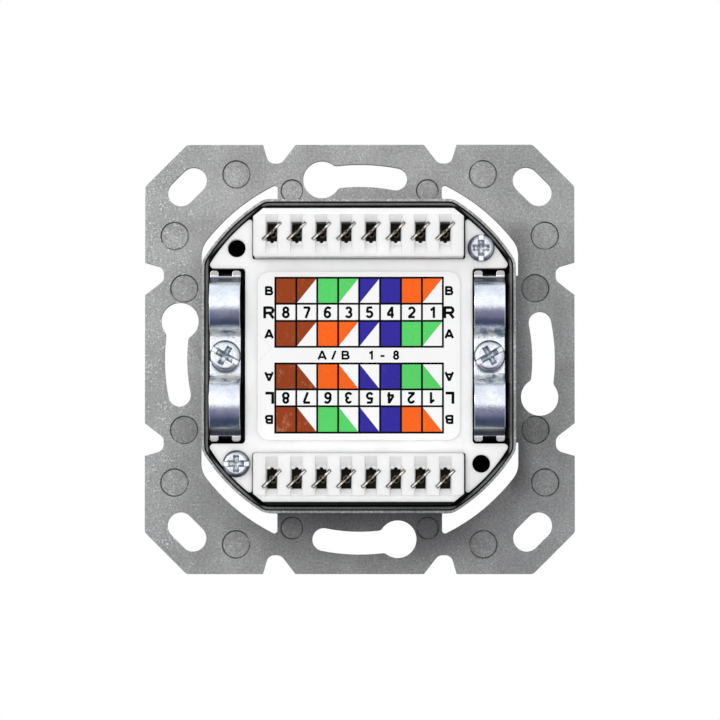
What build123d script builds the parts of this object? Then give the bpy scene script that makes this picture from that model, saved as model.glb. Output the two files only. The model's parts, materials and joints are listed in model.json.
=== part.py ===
from build123d import *

import os
from math import cos, hypot, radians, sin, sqrt

# Two-port data wall outlet, in millimetres
#
# The outlet hangs in a wall: its front looks to -Y, +Y points into the wall and +Z is up.
# The origin is the centre of the face that bears on the wall, the rear face of the flange.
# Profiles are drawn as they are seen from the wiring side: across runs to -X and up to +Z.

# Flange of the die-cast frame
flange_size = 71.0
flange_thickness = 1.6
flange_corner_cut = 6.9
flange_edge_radius = 1.0
notch_outer = 16.0
notch_outer_foot = 15.1
notch_inner_foot = 13.0
notch_inner = 10.6
notch_depth = 3.1
notch_radius = 1.3
corner_slot_reach = 28.55
corner_slot_width = 4.4
corner_slot_travel = 2.9
keyhole_circle = 30.4
keyhole_head_radius = 3.1
keyhole_head_angle = 11.9
keyhole_slot_width = 3.75
keyhole_slot_angle = 11.3
keyhole_blend = 0.8
crescent_radius = 32.1
crescent_bridge = 13.6
crescent_side = 26.2
crescent_foot = 13.8
crescent_blend = 0.5
crescent_side_blend = 4.0
ejector_depth = 0.12
large_ejector_radius = 2.25
small_ejector_radius = 1.8
large_ejectors = ((20.4, 30.6), (30.6, 20.4), (29.0, 11.7))
small_ejectors = ((11.2, 27.9),)

# Box of the die-cast frame
wall_flat = 25.5
wall_round = 29.75
wall_thickness = 1.0
wall_corner_radius = 3.0
rim_depth = 14.0
rim_lip = 0.4
rim_groove = 0.2
rim_groove_depth = 0.9
rim_step = 0.6

# Circuit board
board_front = 9.4
board_thickness = 1.6
board_clearance = 0.3

# Wiring cover
cover_face = 13.5
cover_wall = 1.3
cover_skirt = 1.0
cover_clearance = 0.3
cover_panel_half = 18.45
cover_bay_half = 14.24
cover_corner_radius = 0.6
cover_boss_wall = 1.1

# Screw places of the cover
screw_across = 19.85
screw_up = 17.5
frame_boss_radius = 2.8
cover_screw_radius = 1.25
cover_screw_head_radius = 2.2
cover_screw_head_height = 1.5
cover_screw_length = 10.0
screw_clearance = 0.15
empty_hole_radius = 1.45

# Label
label_width = 32.9
label_height = 27.4
label_corner = 2.0
label_thickness = 0.1

# Terminal strips
strip_half = 17.0
strip_inner = 15.85
strip_outer = 23.7
strip_face = 18.6
strip_corner_across = 1.6
strip_corner_up = 1.3
strip_inner_radius = 0.4
strip_clearance = 0.12
strip_side_clearance = 0.3
strip_wall_clearance = 0.2
strip_overhang_depth = 14.2
strip_ridge = 22.75
strip_ridge_drop = 0.25
slot_pitch = 4.0
slot_count = 8
slot_row = 20.0
slot_hole_width = 1.65
slot_hole_height = 3.15
slot_notch_radius = 0.32
slot_channel_width = 1.9
slot_channel_depth = 1.7
slot_channel_inner = 16.4
slot_channel_flat = 17.9
slot_channel_ramp = 21.6

# Insulation-displacement blades
blade_length = 3.85
blade_thickness = 0.35
blade_angle = 44.0
blade_clearance = 0.1
blade_recess = 0.9
blade_slit = 0.35
blade_slit_depth = 3.6
blade_lead_width = 1.7
blade_lead_depth = 0.9
blade_foot_length = 2.2
blade_foot_height = 1.4
blade_pin_width = 0.6
blade_pin_projection = 0.9
pin_hole_radius = 0.5

# Cable clamps
clamp_across = 21.45
clamp_offset = 0.24
clamp_width = 5.0
clamp_thickness = 0.8
clamp_half_length = 13.9
clamp_seat = 12.4
hump_place = 8.0
hump_radius = 4.65
hump_blend = 0.5
fork_width = 2.2
fork_depth = 0.9
fork_round = 0.45
ledge_half_length = 13.4
ledge_clearance = 0.3
cradle_radius = 3.6
clamp_screw_radius = 1.5
clamp_screw_head_radius = 2.55
clamp_screw_head_height = 1.7
clamp_screw_length = 7.0
clamp_screw_turn = 30.0

# Screw heads and their drives
head_round = 0.75
drive_depth = 1.2
drive_taper = 14.0
cross_width = 1.0
cross_span = 0.64
slot_width = 0.85
slot_depth = 0.5
tip_chamfer = 0.45

# Front hood with the two sockets
hood_nose = -12.6
hood_nose_low = -1.0
hood_nose_high = 3.0
hood_low = -12.0
hood_high = 12.0
hood_wall = 1.4
hood_edge_radius = 1.0
hood_space_over = 1.0
socket_boss_clearance = 0.3
socket_side_clearance = 0.2
window_clearance = 0.15
plate_screw_up = 1.0
plate_screw_radius = 1.25
plate_screw_depth = 9.0
plate_screw_bottom = 1.0
plate_screw_boss_radius = 2.2

# Socket bodies, shields and contacts
socket_width = 15.5
socket_height = 12.6
socket_back = 15.6
socket_shoulder = 1.6
socket_lip = 0.2
socket_nose_width = 12.9
socket_nose_height = 10.3
port_width = 11.8
port_floor = -4.05
port_ceiling = 2.85
port_depth = 12.6
latch_width = 6.3
latch_height = 1.05
key_width = 3.4
key_height = 0.6
contact_count = 8
contact_pitch = 1.02
contact_size = 0.4
groove_width = 0.62
groove_depth = 0.85
contact_run = -4.5
contact_bend = 1.6
contact_tip_back = 9.6
contact_tip_up = -0.9
contact_short_exit = 16.2
contact_long_exit = 19.0
contact_projection = 0.4
contact_hole_radius = 0.36
shield_thickness = 0.25
shield_exit_half = 4.6
shield_exit_top = -3.3
shield_tabs_up = (-1.4, 3.0)
shield_tab_width = 1.4
shield_tab_root = 4.5
shield_tab_shy = 0.2
shield_tab_clearance = 0.15

# Worked out from the values above
socket_pitch = socket_width + 2 * (shield_thickness + socket_boss_clearance + plate_screw_boss_radius)
board_rear = board_front + board_thickness
shield_width = socket_width + 2 * shield_thickness
flange_half = flange_size / 2
hole_places = [(a * screw_across, b * screw_up) for a in (1, -1) for b in (1, -1)]
screw_places = {"upper": (screw_across, screw_up), "lower": (-screw_across, -screw_up)}
empty_places = [(-screw_across, screw_up), (screw_across, -screw_up)]
slot_places = [(i - (slot_count - 1) / 2) * slot_pitch for i in range(slot_count)]
socket_places = {"left": socket_pitch / 2, "right": -socket_pitch / 2}
hood_half = socket_pitch / 2 + socket_width / 2 + shield_thickness + socket_side_clearance + hood_wall
hood_inner_half = hood_half - hood_wall
port_middle = ((hood_nose - flange_thickness) / 2, (hood_nose_low + hood_low) / 2)
clamp_top = clamp_seat + clamp_thickness
clamp_places = {"left": clamp_across - clamp_offset, "right": -clamp_across - clamp_offset}
tab_reach = (socket_width + shield_thickness) / 2


def rear_plane(depth):
    """Drawing plane at a depth into the wall, seen from the wiring side."""
    return Plane(origin=(0, depth, 0), x_dir=(-1, 0, 0), z_dir=(0, 1, 0))


def socket_plane(across, depth):
    """Drawing plane across a socket, a depth in from its slanted face; up is towards the nose."""
    step = depth / sqrt(2)
    place = (-across, port_middle[0] + step, port_middle[1] + step)
    return Plane(origin=place, x_dir=(-1, 0, 0), z_dir=(0, 1, 1))


def socket_side_plane(across):
    """Drawing plane along a socket: x runs in from the slanted face and y towards the nose."""
    place = (-across, port_middle[0], port_middle[1])
    return Plane(origin=place, x_dir=(0, 1, 1), z_dir=(1, 0, 0))


def box_outline(inset):
    """Outline of the box, four flats and four round corners, moved in by an inset."""
    with BuildSketch() as outline:
        Circle(wall_round - inset)
        Rectangle(2 * (wall_flat - inset), 2 * (wall_flat - inset), mode=Mode.INTERSECT)
        fillet(outline.vertices(), wall_corner_radius - inset)
    return outline.sketch


def inside_plan(clearance):
    """Plan of what lies in the box: clear of its wall, with two bays for the cable clamps."""
    inset = wall_thickness + clearance
    with BuildSketch() as plan:
        Circle(wall_round - inset)
        Rectangle(2 * wall_round, 2 * (wall_flat - inset), mode=Mode.INTERSECT)
        for side in (1, -1):
            with Locations((side * (cover_panel_half + wall_round) / 2, 0)):
                Rectangle(wall_round - cover_panel_half, 2 * cover_bay_half, mode=Mode.SUBTRACT)
        fillet([v for v in plan.vertices() if abs(abs(v.Y) - cover_bay_half) < 0.01], cover_corner_radius)
    return plan.sketch


def edge_notch(side):
    """Notch in the top edge of the flange: steep on its outer side, sloped on its inner one."""
    foot = flange_half - notch_depth
    with BuildSketch() as notch:
        Polygon(
            (side * notch_inner, flange_half),
            (side * notch_inner_foot, foot),
            (side * notch_outer_foot, foot),
            (side * notch_outer, flange_half),
            (side * notch_outer, flange_half + notch_depth),
            (side * notch_inner, flange_half + notch_depth),
        )
        fillet(notch.vertices().group_by(Axis.Y)[0], notch_radius)
    return notch.sketch


def keyhole(side):
    """Keyhole at the top of the flange: a round head to one side and a slot along the circle."""
    head = radians(90 + side * keyhole_head_angle)
    head_place = (keyhole_circle * cos(head), keyhole_circle * sin(head))
    sweep_angle = -side * (keyhole_head_angle + keyhole_slot_angle)
    with BuildLine() as path:
        CenterArc((0, 0), keyhole_circle, 90 + side * keyhole_head_angle, sweep_angle)
    with BuildSketch() as hole:
        SlotArc(path.edges()[0], keyhole_slot_width)
        with Locations(head_place):
            Circle(keyhole_head_radius)
        throat = [
            v for v in hole.vertices()
            if abs(hypot(v.X - head_place[0], v.Y - head_place[1]) - keyhole_head_radius) < 0.01
        ]
        fillet(throat, keyhole_blend)
    return hole.sketch


def crescent(across, up):
    """Opening between the flange and one round corner of the box."""
    width = crescent_side - crescent_bridge
    height = crescent_radius - crescent_foot
    with BuildSketch() as opening:
        Circle(crescent_radius)
        with Locations((across * (crescent_bridge + width / 2), up * (crescent_foot + height / 2))):
            Rectangle(width, height, mode=Mode.INTERSECT)
        add(box_outline(0), mode=Mode.SUBTRACT)
        on_circle = [v for v in opening.vertices() if abs(hypot(v.X, v.Y) - crescent_radius) < 0.01]
        side_corners = [v for v in on_circle if abs(abs(v.X) - crescent_side) < 0.01]
        fillet(side_corners, crescent_side_blend)
        bridge_corners = [v for v in opening.vertices() if abs(hypot(v.X, v.Y) - crescent_radius) < 0.01]
        fillet([v for v in bridge_corners if abs(abs(v.X) - crescent_bridge) < 0.01], crescent_blend)
    return opening.sketch


def cover_plan(inset):
    """Plan of the wiring cover: a middle panel with an ear at each corner."""
    window_inner = strip_inner - strip_clearance
    window_half = strip_half + strip_side_clearance
    with BuildSketch() as plan:
        add(inside_plan(cover_clearance))
        for side in (1, -1):
            with Locations((0, side * (window_inner + wall_flat) / 2)):
                Rectangle(2 * window_half, wall_flat - window_inner, mode=Mode.SUBTRACT)
        fillet([v for v in plan.vertices() if abs(abs(v.X) - window_half) < 0.01], strip_inner_radius)
        if inset > 0:
            offset(amount=-inset, kind=Kind.INTERSECTION)
    return plan.sketch


def strip_plan():
    """Plan of the upper terminal strip with its bevelled outer corners."""
    height = strip_outer - strip_inner
    with BuildSketch() as plan:
        with Locations((0, strip_inner + height / 2)):
            Rectangle(2 * strip_half, height)
        chamfer(plan.vertices().group_by(Axis.Y)[-1], strip_corner_up, strip_corner_across)
        fillet(plan.vertices().group_by(Axis.Y)[0], strip_inner_radius)
    return plan.sketch


def port_profile():
    """Mouth of a socket: the plug's body with the stepped way of its latch above it."""
    ceiling = port_ceiling
    with BuildSketch() as profile:
        with Locations((0, (port_floor + ceiling) / 2)):
            Rectangle(port_width, ceiling - port_floor)
        with Locations((0, ceiling + latch_height / 2)):
            Rectangle(latch_width, latch_height)
        with Locations((0, ceiling + latch_height + key_height / 2)):
            Rectangle(key_width, key_height)
    return profile.sketch


def wire_profile(points, width):
    """Side view of a bent wire through the given points, round at every bend."""
    with BuildSketch() as profile:
        for start, end in zip(points, points[1:]):
            with BuildLine(mode=Mode.PRIVATE) as run:
                Line(start, end)
            SlotArc(run.edges()[0], width)
    return profile.sketch


def write(piece, name):
    """Name a finished piece and write it."""
    piece.part.label = name
    export_step(piece.part, f"parts/{name}.step")


def screw(name, place, seat, sizes, slot_angle):
    """Screw with a rounded head on its seat and a tapered cross recess combined with a slot."""
    radius, head_radius, head_height, length = sizes
    head_top = seat + head_height
    with BuildPart() as piece:
        with BuildSketch(rear_plane(seat)):
            with Locations(place):
                Circle(head_radius)
        extrude(amount=head_height)
        fillet(piece.faces().sort_by(Axis.Y)[-1].edges(), head_round)
        with BuildSketch(rear_plane(seat)):
            with Locations(place):
                Circle(radius)
        extrude(amount=-length)
        chamfer(piece.faces().sort_by(Axis.Y)[0].edges(), tip_chamfer)
        with BuildSketch(rear_plane(head_top)):
            with Locations(place):
                Rectangle(2 * cross_span * head_radius, cross_width, rotation=slot_angle)
                Rectangle(cross_width, 2 * cross_span * head_radius, rotation=slot_angle)
        extrude(amount=-drive_depth, taper=drive_taper, mode=Mode.SUBTRACT)
        with BuildSketch(rear_plane(head_top)):
            with Locations(place):
                Rectangle(2 * head_radius + slot_width, slot_width, rotation=slot_angle)
        extrude(amount=-slot_depth, mode=Mode.SUBTRACT)
    write(piece, name)


os.makedirs("parts", exist_ok=True)

# Hood on the front of the frame: a nose strip, a back slope and a face slanted at 45 degrees
with BuildPart() as hood:
    with BuildSketch(Plane.YZ) as hood_profile:
        Polygon(
            (0, hood_low),
            (-flange_thickness, hood_low),
            (hood_nose, hood_nose_low),
            (hood_nose, hood_nose_high),
            (-flange_thickness, hood_high),
            (0, hood_high),
        )
        fillet(hood_profile.vertices().group_by(Axis.X)[0], hood_edge_radius)
    extrude(amount=hood_half, both=True)
    hood_sides = hood.faces().filter_by(Axis.X)
    side_edges = hood_sides.edges().filter_by(lambda e: e.center().Y < -flange_thickness)
    fillet(side_edges, hood_edge_radius)

# Space in the hood, walled alike all round, and its way through the flange
with BuildPart() as hood_space:
    slope_run = -flange_thickness - hood_nose
    slope_rise = hood_high - hood_nose_high
    slope_drop = hood_wall * hypot(slope_run, slope_rise) / slope_run
    face_drop = hood_wall * sqrt(2)
    with BuildSketch(Plane.YZ):
        Polygon(
            (hood_space_over, hood_low + face_drop),
            (-flange_thickness, hood_low + face_drop),
            (hood_nose + hood_wall, hood_nose_low - hood_wall + face_drop),
            (hood_nose + hood_wall, hood_nose_high - slope_drop + hood_wall * slope_rise / slope_run),
            (-flange_thickness, hood_high - slope_drop),
            (hood_space_over, hood_high - slope_drop),
        )
    extrude(amount=hood_inner_half, both=True)

with BuildPart() as mounting_frame:
    # Flange with its notches, screw slots, keyholes and crescent openings
    with BuildSketch(rear_plane(-flange_thickness)) as flange:
        Rectangle(flange_size, flange_size)
        chamfer(flange.vertices(), flange_corner_cut)
        fillet(flange.vertices(), flange_edge_radius)
        for side in (1, -1):
            with PolarLocations(0, 4):
                add(edge_notch(side), mode=Mode.SUBTRACT)
        with PolarLocations(corner_slot_reach * sqrt(2), 4, start_angle=45):
            SlotCenterToCenter(corner_slot_travel, corner_slot_width, rotation=90, mode=Mode.SUBTRACT)
        with PolarLocations(0, 2):
            add(keyhole(1), mode=Mode.SUBTRACT)
        with PolarLocations(0, 2, start_angle=90):
            add(keyhole(-1), mode=Mode.SUBTRACT)
        for across in (1, -1):
            for up in (1, -1):
                add(crescent(across, up), mode=Mode.SUBTRACT)
    extrude(amount=flange_thickness)
    # Box wall, its inside kept open down to the flange
    with BuildSketch(rear_plane(-flange_thickness)):
        add(box_outline(0))
        add(box_outline(wall_thickness), mode=Mode.SUBTRACT)
    extrude(amount=flange_thickness + rim_depth)
    with BuildSketch(rear_plane(rim_depth - rim_groove_depth)):
        add(box_outline(rim_lip))
        add(box_outline(rim_lip + rim_groove), mode=Mode.SUBTRACT)
    extrude(amount=rim_groove_depth, mode=Mode.SUBTRACT)
    with BuildSketch(rear_plane(rim_depth - rim_step)):
        add(box_outline(rim_lip + rim_groove))
        add(box_outline(wall_thickness), mode=Mode.SUBTRACT)
    extrude(amount=rim_step, mode=Mode.SUBTRACT)
    # Ledges that carry the cable clamps, with a cradle under each hump
    ledge_inner = cover_panel_half + ledge_clearance
    ledge_outer = wall_flat - wall_thickness / 2
    with BuildSketch(rear_plane(-flange_thickness)):
        for side in (1, -1):
            with Locations((side * (ledge_inner + ledge_outer) / 2, 0)):
                Rectangle(ledge_outer - ledge_inner, 2 * ledge_half_length)
    extrude(amount=flange_thickness + clamp_seat)
    for up in (1, -1):
        for side in (1, -1):
            cradle_middle = (clamp_seat, up * hump_place)
            cradle_width = wall_flat - wall_thickness - ledge_inner
            with BuildSketch(Plane.YZ.offset(side * (ledge_inner + cradle_width / 2))):
                with Locations(cradle_middle):
                    Circle(cradle_radius)
            extrude(amount=cradle_width / 2, both=True, mode=Mode.SUBTRACT)
    # Room for the sockets beside the ledges
    for across in socket_places.values():
        with BuildSketch(socket_plane(across, socket_shoulder)):
            Rectangle(shield_width + 2 * socket_side_clearance, socket_height + 2 * shield_thickness)
        extrude(amount=socket_back - socket_shoulder + shield_thickness, mode=Mode.SUBTRACT)
    # Bosses under the board
    with BuildSketch(rear_plane(-flange_thickness)):
        with Locations(hole_places):
            Circle(frame_boss_radius)
    extrude(amount=flange_thickness + board_front)
    # Hood on the front, opened from behind
    add(hood.part)
    add(hood_space.part, mode=Mode.SUBTRACT)
    with BuildSketch(rear_plane(hood_nose + hood_wall / 2)):
        with Locations((0, plate_screw_up)):
            Circle(plate_screw_boss_radius)
    extrude(amount=plate_screw_depth)
    with BuildSketch(rear_plane(hood_nose)):
        with Locations((0, plate_screw_up)):
            Circle(plate_screw_radius)
    extrude(amount=plate_screw_depth - plate_screw_bottom, mode=Mode.SUBTRACT)
    for across in socket_places.values():
        with BuildSketch(socket_plane(across, -hood_wall)):
            Rectangle(socket_nose_width + 2 * window_clearance, socket_nose_height + 2 * window_clearance)
        extrude(amount=3 * hood_wall, mode=Mode.SUBTRACT)
    # Ejector marks on the rear of the flange
    with BuildSketch(rear_plane(-ejector_depth)):
        for across in (1, -1):
            for up in (1, -1):
                with Locations([(across * a, up * b) for a, b in large_ejectors]):
                    Circle(large_ejector_radius)
                with Locations([(across * a, up * b) for a, b in small_ejectors]):
                    Circle(small_ejector_radius)
        add(box_outline(0), mode=Mode.SUBTRACT)
    extrude(amount=ejector_depth, mode=Mode.SUBTRACT)
    # Screw holes in the bosses and the ledges
    with BuildSketch(rear_plane(board_front)):
        with Locations(hole_places):
            Circle(cover_screw_radius + screw_clearance)
    extrude(amount=-board_front, mode=Mode.SUBTRACT)
    with BuildSketch(rear_plane(clamp_seat)):
        with Locations([(across, 0) for across in clamp_places.values()]):
            Circle(clamp_screw_radius + screw_clearance)
    extrude(amount=-clamp_screw_length, mode=Mode.SUBTRACT)
write(mounting_frame, "mounting_frame")

# Circuit board between the bosses and the wiring cover
with BuildPart() as circuit_board:
    with BuildSketch(rear_plane(board_front)):
        add(inside_plan(board_clearance))
        with Locations(list(screw_places.values())):
            Circle(cover_screw_radius + 2 * screw_clearance, mode=Mode.SUBTRACT)
        with Locations(empty_places):
            Circle(empty_hole_radius + 2 * screw_clearance, mode=Mode.SUBTRACT)
        with Locations([(a, b * slot_row) for a in slot_places for b in (1, -1)]):
            Circle(pin_hole_radius, mode=Mode.SUBTRACT)
        for across in socket_places.values():
            for index in range(contact_count):
                place = across + (index - (contact_count - 1) / 2) * contact_pitch
                exit_run = contact_short_exit if index % 2 else contact_long_exit
                with Locations((place, port_middle[1] + (exit_run + contact_run) / sqrt(2))):
                    Circle(contact_hole_radius, mode=Mode.SUBTRACT)
            inner_side = tab_reach if across < 0 else -tab_reach
            with Locations([(across + inner_side, up) for up in shield_tabs_up]):
                Rectangle(
                    shield_thickness + 2 * shield_tab_clearance,
                    shield_tab_width + 2 * shield_tab_clearance,
                    mode=Mode.SUBTRACT,
                )
    extrude(amount=board_thickness)
write(circuit_board, "circuit_board")

# Wiring cover: a shallow moulding with a skirt that stands on the board
with BuildPart() as wiring_cover:
    with BuildSketch(rear_plane(board_rear)):
        add(cover_plan(0))
    extrude(amount=cover_face - board_rear)
    with BuildSketch(rear_plane(board_rear)):
        add(cover_plan(cover_skirt))
        with Locations(hole_places):
            Circle(cover_screw_radius + screw_clearance + cover_boss_wall, mode=Mode.SUBTRACT)
    extrude(amount=cover_face - cover_wall - board_rear, mode=Mode.SUBTRACT)
    with BuildSketch(rear_plane(board_rear)):
        with Locations(list(screw_places.values())):
            Circle(cover_screw_radius + screw_clearance)
        with Locations(empty_places):
            Circle(empty_hole_radius)
    extrude(amount=cover_face - board_rear, mode=Mode.SUBTRACT)
write(wiring_cover, "wiring_cover")

# Label on the cover
with BuildPart() as code_label:
    with BuildSketch(rear_plane(cover_face)):
        RectangleRounded(label_width, label_height, label_corner)
    extrude(amount=label_thickness)
write(code_label, "code_label")

# Terminal strips and their blades: the lower strip is the upper one turned half a turn
for turn, row in ((0, "upper"), (180, "lower")):
    with BuildPart() as strip:
        with BuildSketch(rear_plane(board_rear)):
            with Locations(Location((0, 0, 0), (0, 0, turn))):
                add(strip_plan())
        extrude(amount=strip_face - board_rear)
        with BuildSketch(rear_plane(board_rear)):
            Rectangle(2 * wall_flat, 2 * wall_flat)
            add(box_outline(wall_thickness + strip_wall_clearance), mode=Mode.SUBTRACT)
        extrude(amount=strip_overhang_depth - board_rear, mode=Mode.SUBTRACT)
        up = 1 if turn == 0 else -1
        with BuildSketch(rear_plane(strip_face - strip_ridge_drop)):
            with Locations((0, up * (strip_ridge + strip_outer) / 2)):
                Rectangle(2 * strip_half, strip_outer - strip_ridge)
        extrude(amount=strip_ridge_drop, mode=Mode.SUBTRACT)
        channel_floor = strip_face - slot_channel_depth
        for across in slot_places:
            with BuildSketch(Plane.YZ.offset(-across)):
                Polygon(
                    (strip_face, up * slot_channel_inner),
                    (channel_floor, up * slot_channel_flat),
                    (channel_floor, up * slot_channel_ramp),
                    (strip_face, up * strip_ridge),
                )
            extrude(amount=slot_channel_width / 2, both=True, mode=Mode.SUBTRACT)
        with BuildSketch(rear_plane(board_rear)):
            for across in slot_places:
                with Locations((across, up * (slot_row - slot_hole_height / 2))):
                    Circle(slot_notch_radius)
                with Locations((across, up * slot_row)):
                    Rectangle(slot_hole_width, slot_hole_height)
                    Rectangle(
                        blade_length + 2 * blade_clearance,
                        blade_thickness + 2 * blade_clearance,
                        rotation=blade_angle,
                    )
        extrude(amount=strip_face - board_rear, mode=Mode.SUBTRACT)
    write(strip, f"terminal_strip_{row}")
    for index, across in enumerate(slot_places):
        blade_top = strip_face - blade_recess
        blade_plane = Plane(
            origin=(-across, 0, up * slot_row),
            x_dir=(-cos(radians(blade_angle)), 0, sin(radians(blade_angle))),
            z_dir=(-sin(radians(blade_angle)), 0, -cos(radians(blade_angle))),
        )
        with BuildPart() as blade:
            with BuildSketch(blade_plane):
                with Locations((0, (blade_top + board_rear + blade_foot_height) / 2)):
                    Rectangle(blade_length, blade_top - board_rear - blade_foot_height)
                with Locations((0, board_rear + blade_foot_height / 2)):
                    Rectangle(blade_foot_length, blade_foot_height)
                with Locations((0, board_rear)):
                    Rectangle(blade_pin_width, 2 * (board_thickness + blade_pin_projection))
                with Locations((0, blade_top - blade_slit_depth / 2)):
                    Rectangle(blade_slit, blade_slit_depth, mode=Mode.SUBTRACT)
                Polygon(
                    (-blade_lead_width / 2, blade_top),
                    (blade_lead_width / 2, blade_top),
                    (0, blade_top - blade_lead_depth),
                    mode=Mode.SUBTRACT,
                )
            extrude(amount=blade_thickness / 2, both=True)
        write(blade, f"contact_blade_{row}_{index + 1}")

# Cable clamps: bent straps with two humps each and forked feet
clamp_screw_sizes = (clamp_screw_radius, clamp_screw_head_radius, clamp_screw_head_height, clamp_screw_length)
cover_screw_sizes = (cover_screw_radius, cover_screw_head_radius, cover_screw_head_height, cover_screw_length)
for name, across in clamp_places.items():
    with BuildPart() as clamp:
        with BuildSketch(Plane.YZ.offset(-across)) as strap:
            with Locations((clamp_seat + clamp_thickness / 2, 0)):
                Rectangle(clamp_thickness, 2 * clamp_half_length)
            with Locations([(clamp_seat, hump_place), (clamp_seat, -hump_place)]):
                Circle(hump_radius)
                Circle(hump_radius - clamp_thickness, mode=Mode.SUBTRACT)
            with Locations((clamp_seat - hump_radius, 0)):
                Rectangle(2 * hump_radius, 3 * clamp_half_length, mode=Mode.SUBTRACT)
            bends = [v for v in strap.vertices() if abs(v.Y) < clamp_half_length - fork_depth]
            fillet([v for v in bends if v.X > clamp_seat + 0.01], hump_blend)
            fillet([v for v in bends if v.X < clamp_seat + 0.01], hump_blend + clamp_thickness)
        extrude(amount=clamp_width / 2, both=True)
        with BuildSketch(rear_plane(clamp_seat)):
            for up in (1, -1):
                with Locations((across, up * (clamp_half_length - fork_depth / 2))):
                    Rectangle(fork_width, fork_depth)
            with Locations((across, 0)):
                Circle(clamp_screw_radius + screw_clearance)
        extrude(amount=hump_radius, mode=Mode.SUBTRACT)
        upright = clamp.edges().filter_by(Axis.Y)
        fillet([e for e in upright if abs(abs(e.center().Z) - clamp_half_length) < 0.01], fork_round)
    write(clamp, f"cable_clamp_{name}")
    turned = clamp_screw_turn if across > 0 else -clamp_screw_turn
    screw(f"clamp_screw_{name}", (across, 0), clamp_top, clamp_screw_sizes, turned)

screw("cover_screw_upper", screw_places["upper"], cover_face, cover_screw_sizes, 90)
screw("cover_screw_lower", screw_places["lower"], cover_face, cover_screw_sizes, 0)

# Sockets behind the slanted face, each with its shield and its eight contacts
for name, across in socket_places.items():
    lanes = [(i - (contact_count - 1) / 2) * contact_pitch for i in range(contact_count)]
    with BuildPart() as socket_body:
        with BuildSketch(socket_plane(across, socket_shoulder)):
            Rectangle(socket_width, socket_height)
        extrude(amount=socket_back - socket_shoulder)
        with BuildSketch(socket_plane(across, socket_lip)):
            Rectangle(socket_nose_width, socket_nose_height)
        extrude(amount=socket_shoulder - socket_lip)
        with BuildSketch(socket_plane(across, socket_lip)):
            add(port_profile())
        extrude(amount=port_depth, mode=Mode.SUBTRACT)
        with BuildSketch(socket_plane(across, contact_bend - contact_size)):
            with Locations([(lane, port_floor) for lane in lanes]):
                Rectangle(groove_width, 2 * groove_depth)
        extrude(amount=socket_back, mode=Mode.SUBTRACT)
    write(socket_body, f"socket_body_{name}")
    with BuildPart() as shield:
        with BuildSketch(socket_plane(across, socket_shoulder)):
            Rectangle(shield_width, socket_height + 2 * shield_thickness)
            Rectangle(socket_width, socket_height, mode=Mode.SUBTRACT)
        extrude(amount=socket_back - socket_shoulder)
        with BuildSketch(socket_plane(across, socket_back)):
            Rectangle(shield_width, socket_height + 2 * shield_thickness)
            with Locations((0, (shield_exit_top - socket_height / 2) / 2)):
                Rectangle(2 * shield_exit_half, shield_exit_top + socket_height / 2, mode=Mode.SUBTRACT)
        extrude(amount=shield_thickness)
        tab_end = board_rear - shield_tab_shy
        inner_side = tab_reach if across < 0 else -tab_reach
        with BuildSketch(Plane.YZ.offset(-across - inner_side)):
            with Locations([((shield_tab_root + tab_end) / 2, up) for up in shield_tabs_up]):
                Rectangle(tab_end - shield_tab_root, shield_tab_width)
        extrude(amount=shield_thickness / 2, both=True)
    write(shield, f"socket_shield_{name}")
    with BuildPart() as contacts:
        for index, lane in enumerate(lanes):
            exit_run = contact_short_exit if index % 2 else contact_long_exit
            tail = ((board_rear + contact_projection - port_middle[0]) * sqrt(2) - exit_run + contact_run) / 2
            route = (
                (contact_tip_back, contact_tip_up),
                (contact_bend, contact_run),
                (exit_run, contact_run),
                (exit_run + tail, contact_run - tail),
            )
            with BuildSketch(socket_side_plane(across + lane)):
                add(wire_profile(route, contact_size))
            extrude(amount=contact_size / 2, both=True)
    write(contacts, f"socket_contacts_{name}")
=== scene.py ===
"""Two-port data wall outlet, seen from its wiring side: finishes, printed colour code, light and camera."""

import json
import logging
import math
from dataclasses import dataclass, field
from enum import Enum
from typing import Iterable, Optional, Sequence, Union

import bpy
import numpy as np
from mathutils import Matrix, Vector


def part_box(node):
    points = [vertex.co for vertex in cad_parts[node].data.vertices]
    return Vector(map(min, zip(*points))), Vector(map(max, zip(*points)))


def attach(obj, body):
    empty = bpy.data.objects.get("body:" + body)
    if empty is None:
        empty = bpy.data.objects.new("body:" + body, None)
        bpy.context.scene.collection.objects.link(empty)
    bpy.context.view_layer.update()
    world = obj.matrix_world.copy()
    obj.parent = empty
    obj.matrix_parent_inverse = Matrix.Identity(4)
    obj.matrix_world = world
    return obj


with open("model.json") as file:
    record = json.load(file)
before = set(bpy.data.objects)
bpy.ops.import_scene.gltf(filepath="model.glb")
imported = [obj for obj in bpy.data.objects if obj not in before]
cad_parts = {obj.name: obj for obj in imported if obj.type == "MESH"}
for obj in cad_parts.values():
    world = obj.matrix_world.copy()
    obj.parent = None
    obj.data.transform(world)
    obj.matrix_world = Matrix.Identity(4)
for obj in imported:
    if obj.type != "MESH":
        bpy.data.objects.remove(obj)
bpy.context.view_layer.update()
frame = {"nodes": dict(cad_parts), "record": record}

MM = 0.001
ROOT = "root"

# A display colour from 0 to 1
Colour = tuple[float, float, float]
# The two ends of a fade: where it is zero and where it is one
Span = tuple[float, float]
# Where something begins to show, shows whole, begins to go and is gone
Zone = tuple[float, float, float, float]
# Place along a colour ramp, and the linear red, green and blue there
Stop = tuple[float, float, float, float]
# What shader arithmetic takes
Term = Union["Value", float]
# What a blend of colours takes
Paint = Union[Colour, bpy.types.NodeSocket]

log = logging.getLogger("wall_outlet")


class Ink(Enum):
    """Printing inks of the colour code, as display colours."""

    BROWN = (0.558, 0.208, 0.005)
    GREEN = (0.33, 0.81, 0.40)
    ORANGE = (0.965, 0.385, 0.05)
    BLUE = (0.155, 0.115, 0.585)
    BLACK = (0.008, 0.008, 0.009)


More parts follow.
